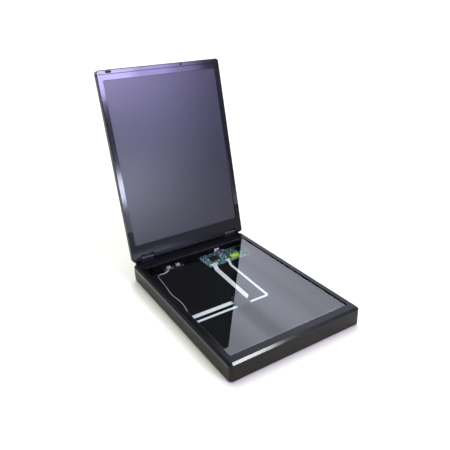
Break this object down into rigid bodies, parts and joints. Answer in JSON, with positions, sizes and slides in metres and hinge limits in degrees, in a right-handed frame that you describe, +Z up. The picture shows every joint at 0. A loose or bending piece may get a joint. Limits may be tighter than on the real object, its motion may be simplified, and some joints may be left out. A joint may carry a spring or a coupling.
{
  "type": "flatbed scanner",
  "caption": "Thin flatbed scanner with its hinged lid standing open, a framed glass platen and a geared sensor carriage on a guide rod beneath it.",
  "frame": {"origin": "middle of the housing's flat underside, which is 1.6 mm above the surface that the feet stand on", "axes": "+X to the right seen from the front, +Y from the front edge to the hinge, +Z up"},
  "size_m": [0.244, 0.4187, 0.3775],
  "materials": {
    "housing_plastic": "fine textured moulding",
    "rim_plastic": "fine textured moulding, semi-gloss",
    "lid_plastic": "fine textured moulding",
    "lid_gloss": "polished black",
    "lid_panel": "satin, violet grey",
    "clear_glass": "clear float glass",
    "white_strip": "printed matt white film",
    "bright_steel": "bright ground steel",
    "dark_steel": "black zinc",
    "gear_plastic": "natural acetal",
    "carriage_plastic": "glass-filled black",
    "circuit_board": "green solder mask",
    "dark_moulding": "black moulding",
    "socket_plastic": "off-white moulding",
    "coil_tape": "yellow-green polyester tape",
    "coil_winding": "red enamelled copper",
    "cable_film": "white laminated film",
    "lead_sheath": "light grey sheath",
    "ferrite": "sintered black",
    "rubber": "soft matt"
  },
  "bodies": {
    "base": {"lower_housing": "housing_plastic", "top_frame": "rim_plastic", "platen_glass": "clear_glass", "calibration_strip": "white_strip", "guide_rod": "bright_steel", "hinge_pin_left": "bright_steel", "hinge_pin_right": "bright_steel", "usb_port": "bright_steel", "housing_screw_right_front": "dark_steel", "housing_screw_right_back": "dark_steel", "housing_screw_back_left": "dark_steel", "housing_screw_back_middle": "dark_steel", "hinge_bracket_left": "dark_steel", "hinge_bracket_right": "dark_steel", "drive_rack": "carriage_plastic", "main_board": "circuit_board", "lamp_driver_board": "circuit_board", "controller_chip": "dark_moulding", "memory_chip": "dark_moulding", "cable_anchor": "dark_moulding", "ffc_wide_socket": "socket_plastic", "ffc_narrow_socket": "socket_plastic", "driver_plug_left": "socket_plastic", "driver_plug_right": "socket_plastic", "taped_coil": "coil_tape", "driver_coil": "coil_winding", "ffc_wide": "cable_film", "ffc_narrow": "cable_film", "ffc_wide_loop": "cable_film", "ffc_narrow_loop": "cable_film", "lamp_lead": "lead_sheath", "ferrite_core": "ferrite", "foot_front_left": "rubber", "foot_front_right": "rubber", "foot_back_left": "rubber", "foot_back_right": "rubber"},
    "lid": {"lid_shell": "lid_plastic", "lid_bezel": "lid_gloss", "lid_hinge_cover": "lid_gloss", "lid_top_strip": "lid_gloss", "lid_bumper_left": "rubber", "lid_bumper_right": "rubber", "lid_screw_cover": "rubber", "lid_panel": "lid_panel", "hinge_arm_left": "dark_steel", "hinge_arm_right": "dark_steel"},
    "carriage": {"carriage_frame": "carriage_plastic", "sensor_bar": "dark_moulding", "sensor_glass": "clear_glass", "slider_pad_left": "gear_plastic", "slider_pad_right": "gear_plastic", "rod_bush_front": "gear_plastic", "rod_bush_back": "gear_plastic", "sensor_spring_left": "bright_steel", "sensor_spring_right": "bright_steel", "stepper_motor": "bright_steel"},
    "drive_gear": {"drive_gear": "gear_plastic"},
    "idler_gear": {"idler_gear": "gear_plastic"},
    "motor_pinion": {"motor_pinion": "gear_plastic"}
  },
  "joints": [
    {"name": "lid_hinge", "type": "hinge", "parent": "base", "child": "lid", "pos_m": [0, 0.1715, 0.0385], "axis": [1, 0, 0], "range_deg": [0, 102.1]},
    {"name": "carriage_slide", "type": "slide", "parent": "base", "child": "carriage", "axis": [0, 1, 0], "range_m": [0, 0.3], "deforming": ["ffc_wide_loop", "ffc_narrow_loop"]},
    {"name": "drive_gear_spin", "type": "hinge", "parent": "carriage", "child": "drive_gear", "pos_m": [-0.10745, -0.1525, 0.0077], "axis": [0, 0, 1], "range_deg": [0, 2865]},
    {"name": "idler_gear_spin", "type": "hinge", "parent": "carriage", "child": "idler_gear", "pos_m": [-0.09385, -0.1525, 0.01035], "axis": [0, 0, 1], "range_deg": [-6876, 0]},
    {"name": "motor_pinion_spin", "type": "hinge", "parent": "carriage", "child": "motor_pinion", "pos_m": [-0.07945, -0.1525, 0.01145], "axis": [0, 0, 1], "range_deg": [0, 17877]}
  ],
  "couplings": [
    {"joint": "drive_gear_spin", "follows": "carriage_slide", "rad_per_m": 166.67},
    {"joint": "idler_gear_spin", "follows": "carriage_slide", "rad_per_m": -400},
    {"joint": "motor_pinion_spin", "follows": "carriage_slide", "rad_per_m": 1040}
  ]
}
